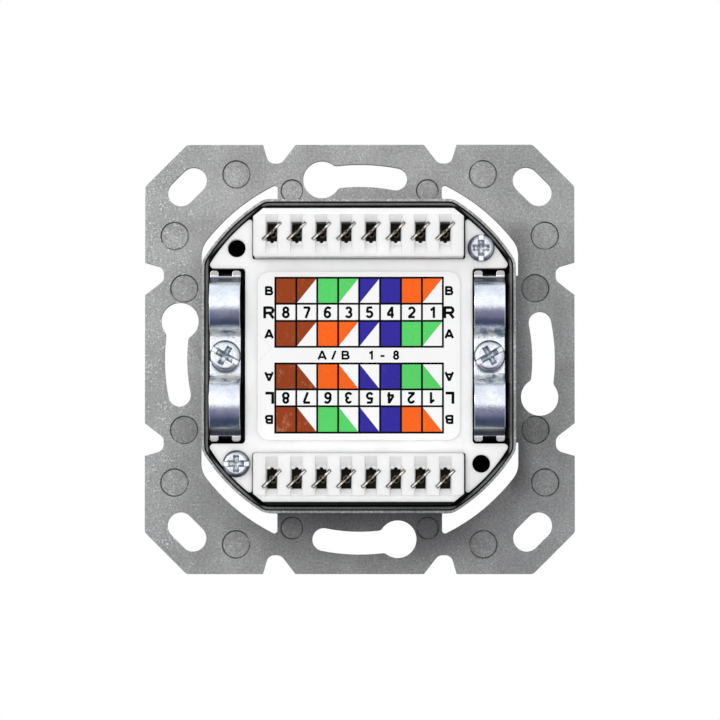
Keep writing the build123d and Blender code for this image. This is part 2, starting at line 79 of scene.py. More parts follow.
class Fill(Enum):
    """How a cell is filled: whole, or split into a coloured triangle and a white rest."""

    WHOLE = "whole"
    SPLIT = "split"


def linear(display: Sequence[float]) -> tuple[float, float, float, float]:
    """Turn a display colour into the linear colour that a shader takes.

    Args:
        display: Red, green and blue from 0 to 1.

    Returns:
        The linear colour with an alpha of one.
    """
    parts = [c / 12.92 if c <= 0.04045 else ((c + 0.055) / 1.055) ** 2.4 for c in display]
    return (parts[0], parts[1], parts[2], 1.0)


def scaled(colour: Sequence[float], factor: float, added: float = 0.0) -> Colour:
    """Multiply each part of a display colour by a factor, and add the same to each."""
    red, green, blue = (part * factor + added for part in colour)
    return (red, green, blue)


class Value:
    """A number inside a shader, whose arithmetic adds Math nodes."""

    def __init__(self, book: "NodeBook", socket: bpy.types.NodeSocket) -> None:
        """Wrap one output socket of a shader tree."""
        self.book = book
        self.socket = socket

    def _math(self, operation: str, *terms: Term) -> "Value":
        """Add one Math node.

        Args:
            operation: Name of the Math node's operation.
            terms: Values or plain numbers, in the order of the node's inputs.

        Returns:
            The node's result.
        """
        node = self.book.node("ShaderNodeMath", {"operation": operation}, dict(enumerate(terms)))
        return Value(self.book, node.outputs[0])

    def __add__(self, other: Term) -> "Value":
        """Sum."""
        return self._math("ADD", self, other)

    def __radd__(self, other: Term) -> "Value":
        """Sum, reflected."""
        return self._math("ADD", other, self)

    def __sub__(self, other: Term) -> "Value":
        """Difference."""
        return self._math("SUBTRACT", self, other)

    def __rsub__(self, other: Term) -> "Value":
        """Difference, reflected."""
        return self._math("SUBTRACT", other, self)

    def __mul__(self, other: Term) -> "Value":
        """Product."""
        return self._math("MULTIPLY", self, other)

    def __rmul__(self, other: Term) -> "Value":
        """Product, reflected."""
        return self._math("MULTIPLY", other, self)

    def __pow__(self, other: Term) -> "Value":
        """Power."""
        return self._math("POWER", self, other)

    def __neg__(self) -> "Value":
        """Opposite."""
        return self._math("MULTIPLY", self, -1.0)

    def __abs__(self) -> "Value":
        """Size without sign."""
        return self._math("ABSOLUTE", self)

    def sign(self) -> "Value":
        """One above zero and minus one below it."""
        return self._math("SIGN", self)

    def wave(self) -> "Value":
        """Sine."""
        return self._math("SINE", self)

    def wrap(self, period: float) -> "Value":
        """Rest after whole periods, from zero up to one period."""
        return self._math("FLOORED_MODULO", self, period)

    def positive(self) -> "Value":
        """Zero wherever this value is below it."""
        return self._math("MAXIMUM", self, 0.0)

    def held(self, low: float, high: float) -> "Value":
        """Keep between two limits."""
        return self._math("MINIMUM", self._math("MAXIMUM", self, low), high)

    def fade(self, low: float, high: float) -> "Value":
        """Rise smoothly from zero at low to one at high, or fall where low is the greater."""
        node = self.book.node(
            "ShaderNodeMapRange",
            {"interpolation_type": "SMOOTHSTEP"},
            {"Value": self, "From Min": low, "From Max": high},
        )
        return Value(self.book, node.outputs["Result"])

    def within(self, zone: Zone) -> "Value":
        """One in the middle of a zone, with a smooth rise before it and a smooth fall after it."""
        begins, whole, goes, gone = zone
        return self.fade(begins, whole) * self.fade(gone, goes)


def distance(across: Value, up: Value) -> Value:
    """Length of a step across and up: the root of the sum of their squares."""
    return (across ** 2.0 + up ** 2.0) ** 0.5


class NodeBook:
    """Adds nodes to one shader tree."""

    def __init__(self, tree: bpy.types.NodeTree) -> None:
        """Start on a tree."""
        self.tree = tree

    def node(self, kind: str, settings: dict[str, object], sockets: dict[object, object]) -> bpy.types.Node:
        """Add a node.

        Args:
            kind: Blender's name of the node type.
            settings: Node properties, set first.
            sockets: Plain values or links for the inputs, by name or number.

        Returns:
            The new node.
        """
        made = self.tree.nodes.new(kind)
        for key, setting in settings.items():
            setattr(made, key, setting)
        for key, term in sockets.items():
            self.feed(made.inputs[key], term)
        return made

    def feed(self, socket: bpy.types.NodeSocket, term: object) -> None:
        """Link a value or another socket to an input, or set the input to a plain value."""
        if isinstance(term, Value):
            self.tree.links.new(term.socket, socket)
        elif isinstance(term, bpy.types.NodeSocket):
            self.tree.links.new(term, socket)
        else:
            socket.default_value = term

    def mix(self, factor: Value, first: Paint, second: Paint) -> bpy.types.NodeSocket:
        """Blend two colours.

        Args:
            factor: Share of the second colour.
            first: Display colour, or a colour socket.
            second: Display colour, or a colour socket.

        Returns:
            The blended colour.
        """
        made = self.node("ShaderNodeMix", {"data_type": "RGBA"}, {"Factor": factor})
        for socket, term in zip((made.inputs[6], made.inputs[7]), (first, second)):
            self.feed(socket, term if isinstance(term, bpy.types.NodeSocket) else linear(term))
        return made.outputs[2]

    def ramp(self, where: Value, stops: Sequence[Stop]) -> bpy.types.NodeSocket:
        """Colour that runs through stops.

        Args:
            where: Place along the ramp, from 0 to 1.
            stops: Stops in rising order.

        Returns:
            The colour.
        """
        made = self.node("ShaderNodeValToRGB", {}, {"Fac": where})
        elements = made.color_ramp.elements
        elements[0].position, elements[-1].position = stops[0][0], stops[-1][0]
        for stop in stops[1:-1]:
            elements.new(stop[0])
        for element, (place, red, green, blue) in zip(elements, stops):
            element.color = (red, green, blue, 1.0)
        return made.outputs["Color"]


@dataclass(frozen=True)
class Grain:
    """Settings of one cloudy noise.

    Attributes:
        scale: Features per millimetre.
        detail: Octaves.
        roughness: Share of the finer octaves.
        stretch: Factor on each axis before the noise is read.
    """

    scale: float
    detail: float = 3.0
    roughness: float = 0.5
    stretch: tuple[float, float, float] = (1.0, 1.0, 1.0)


@dataclass(frozen=True)
class Coat:
    """A colour laid over a finish, and how much of it shows where it lies whole."""

    colour: Paint
    share: float = 1.0


class ShaderBook(NodeBook):
    """Builds one material: a Principled shader, and patterns on the place on the piece in millimetres."""

    def __init__(self, name: str) -> None:
        """Start a material, with x, y and z on the piece."""
        self.material = bpy.data.materials.new(name)
        self.material.use_nodes = True
        super().__init__(self.material.node_tree)
        self.shader = self.tree.nodes["Principled BSDF"]
        origin = self.node("ShaderNodeTexCoord", {}, {})
        larger = self.node(
            "ShaderNodeVectorMath",
            {"operation": "SCALE"},
            {"Vector": origin.outputs["Object"], "Scale": 1 / MM},
        )
        self.place = larger.outputs["Vector"]
        split = self.node("ShaderNodeSeparateXYZ", {}, {"Vector": self.place})
        self.x, self.y, self.z = (Value(self, split.outputs[axis]) for axis in "XYZ")

    def noise(self, grain: Grain) -> Value:
        """Add cloudy noise, from 0 to 1 about 0.5."""
        mapped = self.node("ShaderNodeMapping", {}, {"Vector": self.place, "Scale": grain.stretch})
        made = self.node("ShaderNodeTexNoise", {"noise_dimensions": "3D"}, {
            "Vector": mapped.outputs["Vector"], "Scale": grain.scale,
            "Detail": grain.detail, "Roughness": grain.roughness,
        })
        return Value(self, made.outputs["Fac"])

    def cells(self, scale: float) -> Value:
        """Add small cells, each with its own random number from 0 to 1."""
        made = self.node("ShaderNodeTexVoronoi", {"feature": "F1"}, {"Vector": self.place, "Scale": scale})
        split = self.node("ShaderNodeSeparateColor", {}, {"Color": made.outputs["Color"]})
        return Value(self, split.outputs["Red"])

    def layers(self, base: Paint, *coats: tuple[Value, Coat]) -> Paint:
        """Lay coats over a base colour one after another, each by its mask times its share."""
        for mask, coat in coats:
            base = self.mix(mask * coat.share, base, coat.colour)
        return base

    def connect(self, socket: str, term: object) -> None:
        """Set or link one input of the Principled shader."""
        self.feed(self.shader.inputs[socket], term)

    def bump(self, height: Value, depth: float, edge: float = 0.0) -> None:
        """Raise the surface by a height map, over softened edges.

        Args:
            height: Height map.
            depth: Millimetres of relief for one unit of height.
            edge: Radius to which sharp edges look rounded, in millimetres.
        """
        sockets: dict[str, object] = {"Height": height, "Distance": depth * MM, "Strength": 1.0}
        if edge > 0:
            soft = self.node("ShaderNodeBevel", {"samples": 6}, {"Radius": edge * MM})
            sockets["Normal"] = soft.outputs["Normal"]
        made = self.node("ShaderNodeBump", {}, sockets)
        self.connect("Normal", made.outputs["Normal"])


@dataclass(frozen=True)
class ZincCasting:
    """Raw zinc die casting: matt grey skin with a fine grain, scuffs and ringed ejector marks, with painted
    glints, painted shade on its walls and in its recesses, and a painted shadow of the box on the flange.

    Places are in millimetres from the flange's middle, across and up, and in depth from the face that
    bears on the wall. rear_depth is half way from that face to the bottoms of the marks, which are given
    once and folded on both axes.
    """

    dark: Colour = (0.41, 0.41, 0.405)
    grey: Coat = Coat((0.78, 0.78, 0.775))
    scuffs_and_glints: Coat = Coat((0.97, 0.97, 0.97))
    ringed: Coat = Coat((0.15, 0.15, 0.15), 0.72)
    wall_shade: Coat = Coat((0.26, 0.26, 0.26), 0.62)
    black: Coat = Coat((0.03, 0.03, 0.03), 0.95)
    shaded: Coat = Coat((0.22, 0.22, 0.22))
    mark_darkening: Coat = Coat((0.26, 0.26, 0.26), 0.28)
    lip_glints: Coat = Coat((0.97, 0.97, 0.97), 0.45)
    clouds: Grain = Grain(0.10, 4.0, 0.6)
    skin: Grain = Grain(2.6, 5.0, 0.8)
    fine: Grain = Grain(6.5, 3.0, 0.7)
    scuffs: Grain = Grain(0.42, 7.0, 0.85, (1.0, 1.0, 1.4))
    gaps: Grain = Grain(0.42, 2.0)
    sparkle_cells: float = 8.0
    large_marks: tuple[tuple[float, float], ...] = ((20.4, 30.6), (30.6, 20.4), (29.0, 11.7))
    small_marks: tuple[tuple[float, float], ...] = ((11.2, 27.9),)
    large_radius: float = 2.25
    small_radius: float = 1.8
    filled_mark: tuple[float, float] = (29.0, 11.7)
    ring_line: Span = (0.15, 0.03)
    ring_depths: Span = (0.12, 0.08)
    rear_depth: float = -0.06
    rear_depths: Span = (0.3, 0.2)
    wall_depths: Zone = (0.5, 2.5, 13.55, 13.72)
    groove_depths: Zone = (12.9, 13.05, 13.2, 13.38)
    pocket_depths: Zone = (-0.4, -0.2, 13.7, 13.9)
    pocket_sides: Span = (24.6, 24.2)
    pocket_corners: Span = (40.8, 40.2)
    lip_depths: Span = (13.8, 13.95)
    more_scuffed: Span = (20.0, 33.0)
    below_box: Zone = (24.0, 25.5, 27.0, 36.0)
    below_sides: Span = (23.0, 14.0)
    beside_box: Zone = (24.0, 25.5, 25.8, 29.5)
    beside_ends: Span = (24.0, 19.0)
    corner_starts: Span = (28.0, 42.0)
    corner_ends: Span = (40.0, 31.0)
    lower_half: Span = (2.0, 24.0)
    most_shade: float = 0.8

    def rear(self, book: ShaderBook) -> Value:
        """One on the flange's rear face and zero elsewhere."""
        return abs(book.y - self.rear_depth).fade(*self.rear_depths)

    def rings(self, book: ShaderBook) -> Value:
        """Draw the broken dark rings round the ejector marks.

        A ring shows where the distance to a mark's middle comes near the mark's radius.
        """
        across, up = abs(book.x), abs(book.z)
        spots = [(mark, self.large_radius) for mark in self.large_marks]
        spots += [(mark, self.small_radius) for mark in self.small_marks]
        rings = sum(
            abs(distance(across - side, up - rise) - radius).fade(*self.ring_line)
            for (side, rise), radius in spots
        )
        flat = abs(book.y - self.rear_depth).fade(*self.ring_depths)
        return rings * flat * book.noise(self.gaps).fade(0.26, 0.50)

    def mark_fill(self, book: ShaderBook) -> Value:
        """Give the share of darker fill inside the marks beside the box, apart from the one high on the +X
        side.
        """
        across, up = self.filled_mark
        reach = distance(abs(book.x) - across, abs(book.z) - up)
        inside = reach.fade(self.large_radius, self.large_radius - 0.3)
        spared = book.x.fade(0.0, 1.0) * book.z.fade(0.0, 1.0)
        return inside * (1.0 - spared) * self.rear(book)

    def shade(self, book: ShaderBook) -> Value:
        """Give the painted shadow that the box casts on the flange, below it, beside it and at their corner,
        with painted shade growing towards the bottom.
        """
        below, beside = -book.z, -book.x
        low = below.within(self.below_box) * abs(book.x).fade(*self.below_sides)
        side = beside.within(self.beside_box) * abs(book.z).fade(*self.beside_ends)
        reach = distance(book.x, book.z)
        corner = (beside + below).fade(*self.corner_starts) * reach.fade(*self.corner_ends)
        # Painted shadow of the box, and painted shade growing towards the bottom.
        shade = low * 0.40 + side * 0.42 + corner * 0.20 + below.fade(*self.lower_half) * 0.10
        return (shade * self.rear(book)).held(0.0, self.most_shade)

    def deep(self, book: ShaderBook) -> Value:
        """Give the share of painted shade in the groove of the rim and in the pocket under the cover."""
        across, up = abs(book.x), abs(book.z)
        inside = across.fade(*self.pocket_sides) * up.fade(*self.pocket_sides)
        pocket = inside * (across + up).fade(*self.pocket_corners) * book.y.within(self.pocket_depths)
        return (book.y.within(self.groove_depths) + pocket).held(0.0, 1.0)

    def build(self) -> bpy.types.Material:
        """Build the material."""
        book = ShaderBook("zinc_casting")
        clouds, skin, fine = (book.noise(grain) for grain in (self.clouds, self.skin, self.fine))
        # Sparkle is painted glints: bright specks laid into the colour.
        sparkle = book.cells(self.sparkle_cells).fade(0.955, 0.99) * clouds.fade(0.40, 0.55)
        worn = book.noise(self.scuffs) + book.x.fade(*self.more_scuffed) * 0.12
        scratch = worn.fade(0.60, 0.69) * skin.fade(0.47, 0.60)
        rings, deep = self.rings(book), self.deep(book)
        tone = clouds.fade(0.35, 0.65) * 0.18 + skin.fade(0.30, 0.70) * 0.47 + fine.fade(0.30, 0.70) * 0.35
        book.connect("Base Color", book.layers(
            self.dark,
            (tone, self.grey),
            # Scuffs are wear; the sparkle laid in with them is painted glints.
            ((sparkle * 0.5 + scratch * 0.9).held(0.0, 1.0), self.scuffs_and_glints),
            (rings, self.ringed),
            # Painted shade on the box's walls.
            (book.y.within(self.wall_depths), self.wall_shade),
            # Painted shade in the rim's groove and the pocket under the cover.
            (deep, self.black),
            # Painted shadow of the box, and painted shade towards the bottom.
            (self.shade(book), self.shaded),
            (self.mark_fill(book), self.mark_darkening),
            # Painted glints on the rim's lip.
            (book.y.fade(*self.lip_depths) * skin.fade(0.52, 0.66), self.lip_glints),
        ))
        # Full metal under the painted shade, so that no sheen lifts it.
        book.connect("Metallic", 0.62 + deep * 0.38)
        book.connect("Roughness", 0.55 - sparkle * 0.2 + (fine - 0.5) * 0.25)
        book.bump(skin * 0.8 + fine * 0.8 - rings * 1.2 + scratch * 0.4, depth=0.07, edge=0.12)
        return book.material


@dataclass(frozen=True)
class WhiteMoulding:
    """White moulded plastic with a faint grain that lets some light through, and a painted glow at the
    channels' shallow ends that lifts their shade.
    """

    colour: Colour = (0.960, 0.960, 0.960)
    shade: Colour = (0.930, 0.930, 0.930)
    dark: Colour = (0.0, 0.0, 0.0)
    painted_glow: Colour = (0.34, 0.34, 0.34)
    flow: Grain = Grain(0.16, 3.0, 0.55)
    skin: Grain = Grain(6.0, 3.0, 0.6)
    index: float = 1.53
    inside_weight: float = 0.75
    inside_reach: float = 1.6
    outer_ends: Zone = (21.2, 21.9, 22.8, 23.0)
    inner_ends: Zone = (16.2, 16.35, 16.9, 18.0)
    ramp_depths: Zone = (15.8, 16.6, 18.45, 18.58)

    def light(self, book: ShaderBook) -> Value:
        """Give the share of painted glow: both ends of the channels, half as much in the lower row."""
        rise = abs(book.z)
        ends = rise.within(self.outer_ends) + rise.within(self.inner_ends)
        return ends * book.y.within(self.ramp_depths) * (0.5 + book.z.fade(-1.0, 1.0) * 0.5)

    def build(self) -> bpy.types.Material:
        """Build the material."""
        book = ShaderBook("white_moulding")
        flow, skin = book.noise(self.flow), book.noise(self.skin)
        book.connect("Base Color", book.mix(flow.fade(0.3, 0.7), self.shade, self.colour))
        book.connect("Roughness", 0.34 + skin * 0.12)
        book.connect("IOR", self.index)
        book.connect("Subsurface Weight", self.inside_weight)
        book.connect("Subsurface Radius", (1.0, 1.0, 1.0))
        book.connect("Subsurface Scale", self.inside_reach * MM)
        # Emission here is painted light: a glow that lifts the shade at the channels' ends.
        book.connect("Emission Color", book.mix(self.light(book), self.dark, self.painted_glow))
        book.connect("Emission Strength", 1.0)
        book.bump(skin * 0.7 + flow * 0.3, depth=0.006, edge=0.16)
        return book.material


@dataclass(frozen=True)
class LabelFilm:
    """Satin label film with a few soft creases whose hollows carry painted shade, and an embossed edge and a
    nick to lift it by, both lined with painted shade.
    """

    crease_shade: Colour = (0.925, 0.925, 0.925)
    even: Coat = Coat((0.934, 0.934, 0.934))
    edge_line_shade: Coat = Coat((0.62, 0.62, 0.62))
    crease: Grain = Grain(0.12, 2.0, 0.4)
    skin: Grain = Grain(4.0, 2.0)
    half_width: float = 16.45
    half_height: float = 13.7
    corner: float = 2.0
    second_line: float = 0.55
    nick: tuple[float, float] = (14.1, 1.3)
    nick_reach: float = 2.4
    line_strength: float = 0.14
    coat: float = 0.2

    def border(self, book: ShaderBook) -> Value:
        """Draw the embossed edge of the label, lined with painted shade.

        With p the place folded on both axes less the straight sides, the distance inside the edge is
        the corner radius less the length of p.
        """
        side = (abs(book.x) - (self.half_width - self.corner)).positive()
        rise = (abs(book.z) - (self.half_height - self.corner)).positive()
        inside = self.corner - distance(side, rise)
        return inside.fade(0.16, 0.05) + abs(inside - self.second_line).fade(0.12, 0.03) * 0.35

    def tear(self, book: ShaderBook) -> Value:
        """Draw the nick for lifting the label: two short lines that meet in a point."""
        across, up = self.nick
        run = book.x - across
        line = abs(run - abs(book.z - up)).fade(0.20, 0.05)
        return line * run.fade(-0.05, 0.05) * run.fade(self.nick_reach + 0.1, self.nick_reach)

    def build(self) -> bpy.types.Material:
        """Build the material."""
        book = ShaderBook("label_film")
        crease, skin = book.noise(self.crease), book.noise(self.skin)
        # The edge and nick lines are sunk in by the bump and darkened with painted shade.
        lines = (self.border(book) + self.tear(book)) * self.line_strength
        # The creases' hollows are a little darker: painted shade.
        book.connect("Base Color", book.layers(
            self.crease_shade, (crease.fade(0.3, 0.7), self.even), (lines, self.edge_line_shade),
        ))
        book.connect("Roughness", 0.30 + skin * 0.08)
        book.connect("Coat Weight", self.coat)
        book.bump(crease * 6.0 + skin * 0.3 - lines * 2.0, depth=0.02, edge=0.05)
        return book.material


@dataclass(frozen=True)
class PrintedInk:
    """One printed ink, with the film's satin gloss, a slightly mottled density and pale flecks of wear.

    The lower table is a little darker and is the more worn.
    """

    ink: Ink
    worn: float = 0.0
    index: float = 1.38
    density: Grain = Grain(2.2, 5.0, 0.75)
    flecks: Grain = Grain(0.8, 6.0, 0.8, (1.0, 1.0, 0.6))
    crease: Grain = Grain(0.12, 2.0, 0.4)
    thin: float = 0.955
    deeper: float = 0.93
    deeper_share: float = 0.6
    fleck_factor: float = 0.65
    fleck_added: float = 0.32
    upper_wear: float = 0.35

    def build(self) -> bpy.types.Material:
        """Build the material."""
        book = ShaderBook(f"ink_{self.ink.name.lower()}")
        colour = self.ink.value
        mottle = book.noise(self.density)
        lower = book.z.fade(0.3, -0.3)
        fleck = book.noise(self.flecks).fade(0.535, 0.60) * mottle.fade(0.44, 0.56)
        fleck = fleck * (lower * (1.0 - self.upper_wear) + self.upper_wear)
        book.connect("Base Color", book.layers(
            scaled(colour, self.thin),
            (mottle.fade(0.35, 0.65), Coat(colour)),
            (lower, Coat(scaled(colour, self.deeper), self.deeper_share)),
            (fleck, Coat(scaled(colour, self.fleck_factor, self.fleck_added), self.worn)),
        ))
        book.connect("Roughness", 0.36 + mottle * 0.1)
        book.connect("IOR", self.index)
        book.bump(book.noise(self.crease), depth=0.02)
        return book.material


@dataclass(frozen=True)
class ZincPlate:
    """Bright zinc plating with a faint blue cast and fine pits, dished where a screw holds it down.

    Heights are in millimetres above and below the strap's screw. The bends by the feet carry painted dark
    reflections, and the faces by the screw a painted blue-green and white sheen.
    """

    name: str
    tint: Colour = (0.95, 0.96, 0.975)
    clouded: Coat = Coat((0.86, 0.88, 0.92))
    pitted: Coat = Coat((0.60, 0.61, 0.66), 0.5)
    footed: Coat = Coat((0.66, 0.61, 0.57), 0.7)
    painted_dark: Coat = Coat((0.26, 0.30, 0.35))
    sheen_teal: Colour = (0.22, 0.44, 0.58)
    sheen_white: Colour = (0.99, 1.0, 1.0)
    cloud: Grain = Grain(0.5, 4.0, 0.65)
    pits: Grain = Grain(6.0, 4.0, 0.85)
    speck: Grain = Grain(2.4, 4.0, 0.8)
    drawn: Grain = Grain(1.2, 3.0, 0.6, (1.0, 1.0, 7.0))
    blot: Grain = Grain(0.7, 3.0, 0.7, (0.8, 1.0, 1.8))
    roughness: float = 0.04
    relief: float = 0.008
    lean: float = 0.15
    lean_half: float = 3.4
    edge: float = 0.25
    foot: float = 13.05
    bend: Zone = (11.70, 11.95, 12.80, 13.00)
    seat: Zone = (2.7, 3.0, 4.3, 4.7)

    def marks(self, book: ShaderBook) -> tuple[Value, Value]:
        """Give the share of painted dark, here dark reflections at the bends by the feet, and of painted
        sheen by the screw.
        """
        up = abs(book.z)
        sheen_share = up.within(self.seat)
        # Dark blots in the painted sheen.
        blots = sheen_share * book.noise(self.blot).fade(0.46, 0.54)
        return (up.within(self.bend) * 0.8 + blots * 0.25).held(0.0, 0.9), sheen_share * 0.75

    def build(self) -> bpy.types.Material:
        """Build the material.

        The faces by the screw lean a little: the height falls by lean for each millimetre up, held
        beyond lean_half.
        """
        book = ShaderBook(self.name)
        cloud, pits, speck, drawn = (
            book.noise(grain) for grain in (self.cloud, self.pits, self.speck, self.drawn)
        )
        dark_share, sheen_share = self.marks(book)
        # Painted reflection: a blue-green and white sheen laid into the colour by the screw.
        sheen_colour = book.mix(cloud.fade(0.40, 0.54), self.sheen_teal, self.sheen_white)
        book.connect("Base Color", book.layers(
            self.tint,
            (cloud.fade(0.35, 0.68), self.clouded),
            (pits.fade(0.54, 0.70), self.pitted),
            (sheen_share, Coat(sheen_colour)),
            (abs(book.z).fade(self.foot, self.foot + 0.2), self.footed),
            # Painted dark: dark reflections at a strap's bends, shade and dark reflections on a screw.
            (dark_share, self.painted_dark),
        ))
        book.connect("Metallic", 1.0 - sheen_share * 0.85)
        book.connect("Roughness", self.roughness + pits * 0.12 + cloud * 0.04 + dark_share * 0.2)
        tilt = book.z.held(-self.lean_half, self.lean_half) * (-self.lean / self.relief)
        book.bump(pits * 2.0 + speck * 2.2 + drawn * 0.3 + cloud + tilt, self.relief, self.edge)
        return book.material


@dataclass(frozen=True, kw_only=True)
class ScrewPlate(ZincPlate):
    """Plating of one screw: dark in the drive and along its slot with painted shade, with painted dark
    reflections on its rim and a greyer shoulder, and a painted sheen in the drive.

    Place is that of the screw's axis, across and up, slot_turn is in degrees, and depths are in
    millimetres from the wall. A screw has no feet, so foot is out of reach.
    """

    lean: float = 0.13
    lean_half: float = 30.0
    edge: float = 0.08
    foot: float = 99.0
    blot: Grain = Grain(1.7, 3.0, 0.65)
    place: tuple[float, float]
    head_radius: float
    slot_turn: float
    slot_half: float = 0.425
    sunk: float = 14.45
    top_depths: Span = (14.2, 14.3)
    shoulder: float

    def marks(self, book: ShaderBook) -> tuple[Value, Value]:
        """Give the share of painted dark, here shade in the drive and along the slot and dark reflections on
        the rim and shoulder, and of painted sheen in the drive.

        The distance from the slot's middle line is the offset from the screw's axis times the sine and
        the cosine of the slot's turn.
        """
        turn = math.radians(self.slot_turn)
        side, rise = book.x - self.place[0], book.z - self.place[1]
        off = abs(side * math.sin(turn) + rise * math.cos(turn))
        reach = distance(side, rise) * (1.0 / self.head_radius)
        drive = book.y.fade(self.sunk, self.sunk - 0.25)
        blot = book.noise(self.blot).fade(0.42, 0.58)
        lines = abs(off - self.slot_half - 0.03).fade(0.13, 0.04) * book.y.fade(*self.top_depths)
        rim = reach.fade(0.88, 0.97)
        shoulder = reach.fade(0.60, 0.88) * off.fade(0.45, 0.60)
        # Painted shade in the drive and along the slot, painted dark reflections on the rim and shoulder.
        shades = lines * 0.5 + rim * 0.55 + blot * reach.fade(0.85, 0.50) * 0.20 + shoulder * self.shoulder
        return (shades + drive * 0.10 + drive * blot * 0.50).held(0.0, 0.95), drive * 0.5


@dataclass(frozen=True)
class TinnedMetal:
    """Tinned sheet or wire with a drawn grain."""

    name: str
    tint: Colour
    roughness: float
    lean: float = 0.0
    darker: float = 0.78
    dark_edge_and_shade: Colour = (0.20, 0.17, 0.14)
    cloud: Grain = Grain(2.0, 3.0, 0.6)
    drawn: Grain = Grain(2.5, 3.0, 0.6, (1.0, 6.0, 1.0))
    relief: float = 0.006

    def edges(self, book: ShaderBook) -> Optional[Value]:
        """Give the share of dark metal along edges, and of painted shade: none on plain sheet."""
        return None

    def build(self) -> bpy.types.Material:
        """Build the material."""
        book = ShaderBook(self.name)
        cloud, drawn = book.noise(self.cloud), book.noise(self.drawn)
        base = book.mix(cloud.fade(0.35, 0.7), self.tint, scaled(self.tint, self.darker))
        dark = self.edges(book)
        if dark is not None:
            base = book.mix(dark, base, self.dark_edge_and_shade)
        book.connect("Base Color", base)
        book.connect("Metallic", 1.0)
        book.connect("Roughness", self.roughness + drawn * 0.12)
        book.bump(drawn + cloud - book.z * (self.lean / self.relief), self.relief, edge=0.06)
        return book.material


@dataclass(frozen=True)
class BladeTin(TinnedMetal):
    """Tinned blades: bright top edges between dark corners, with painted shade lower down."""

    row: float = 20.0
    pitch: float = 4.0
    turn: float = 44.0
    half_thickness: float = 0.175
    lower_depths: Span = (17.2, 16.2)

    def edges(self, book: ShaderBook) -> Optional[Value]:
        """Give the share of dark metal on the blades' corners, and of painted shade lower down.

        The distance from the nearest blade's middle plane is the offset across, wrapped on the pitch,
        times the sine of the blades' turn, less the offset up times its cosine.
        """
        turn = math.radians(self.turn)
        side = (-book.x).wrap(self.pitch) - self.pitch / 2
        rise = book.z - self.row * book.z.sign()
        off = abs(side * math.sin(turn) - rise * math.cos(turn))
        blade_corners = off.fade(self.half_thickness * 0.60, self.half_thickness * 0.90)
        # Painted shade lower down in the slot.
        return (blade_corners * 0.8 + book.y.fade(*self.lower_depths) * 0.6).held(0.0, 0.9)


@dataclass(frozen=True)
class SolderMask:
    """Dark green solder mask over a glass weave."""

    colour: Colour = (0.035, 0.085, 0.055)
    shade: Colour = (0.03, 0.065, 0.045)
    cloud: Grain = Grain(0.3, 3.0)
    weave: float = 9.0
    index: float = 1.3

    def build(self) -> bpy.types.Material:
        """Build the material; the weave is the sine across times the sine up."""
        book = ShaderBook("solder_mask")
        weave = (book.x * self.weave).wave() * (book.z * self.weave).wave()
        cloud = book.noise(self.cloud)
        book.connect("Base Color", book.mix(cloud.fade(0.3, 0.7), self.colour, self.shade))
        book.connect("Roughness", 0.28 + cloud * 0.1)
        book.connect("IOR", self.index)
        book.bump(weave * 0.5 + cloud, depth=0.01, edge=0.05)
        return book.material


@dataclass(frozen=True)
class BlackMoulding:
    """Black moulded plastic of the sockets."""

    colour: Colour = (0.10, 0.10, 0.105)
    paler: Colour = (0.13, 0.13, 0.135)
    skin: Grain = Grain(5.0, 3.0)

    def build(self) -> bpy.types.Material:
        """Build the material."""
        book = ShaderBook("black_moulding")
        skin = book.noise(self.skin)
        book.connect("Base Color", book.mix(skin.fade(0.3, 0.7), self.colour, self.paler))
        book.connect("Roughness", 0.36 + skin * 0.14)
        book.bump(skin, depth=0.01, edge=0.08)
        return book.material


